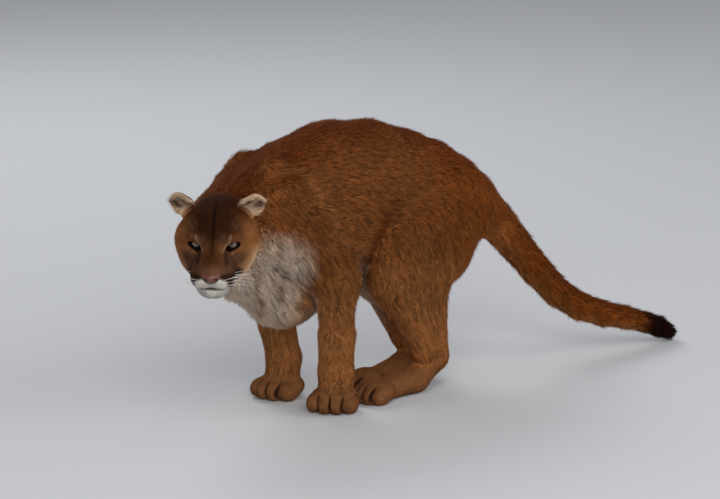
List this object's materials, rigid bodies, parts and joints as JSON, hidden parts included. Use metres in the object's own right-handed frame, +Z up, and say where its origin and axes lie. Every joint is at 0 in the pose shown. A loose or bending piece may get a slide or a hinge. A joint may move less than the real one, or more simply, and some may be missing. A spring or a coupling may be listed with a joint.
{
  "type": "cougar figure",
  "caption": "Life-size adult cougar standing hunched on four paws, head low and turned to its left, tail trailing to the floor.",
  "frame": {"origin": "centre of the bounding box's footprint, on the floor", "axes": "-X the way the body faces, -Y the animal's left side, +Z up"},
  "size_m": [1.3958, 0.3028, 0.6043],
  "materials": {
    "coat": "short reddish-brown fur",
    "dark_coat": "blackish-brown fur",
    "ear_coat": "fur, pale inside the cup and dark behind",
    "eye": "wet, glossy",
    "nose_leather": "pink leather with a dark rim"
  },
  "bodies": {
    "root": {"head": "coat", "neck": "coat", "chest": "coat", "belly": "coat", "rump": "coat", "tail_1": "coat", "tail_2": "coat", "tail_3": "coat", "fore_left_upper": "coat", "fore_left_lower": "coat", "fore_left_paw": "coat", "fore_right_upper": "coat", "fore_right_lower": "coat", "fore_right_paw": "coat", "hind_left_upper": "coat", "hind_left_lower": "coat", "hind_left_paw": "coat", "hind_right_upper": "coat", "hind_right_lower": "coat", "hind_right_paw": "coat", "tail_tip": "dark_coat", "ear_left": "ear_coat", "ear_right": "ear_coat", "eye_left": "eye", "eye_right": "eye", "nose": "nose_leather"}
  },
  "joints": []
}
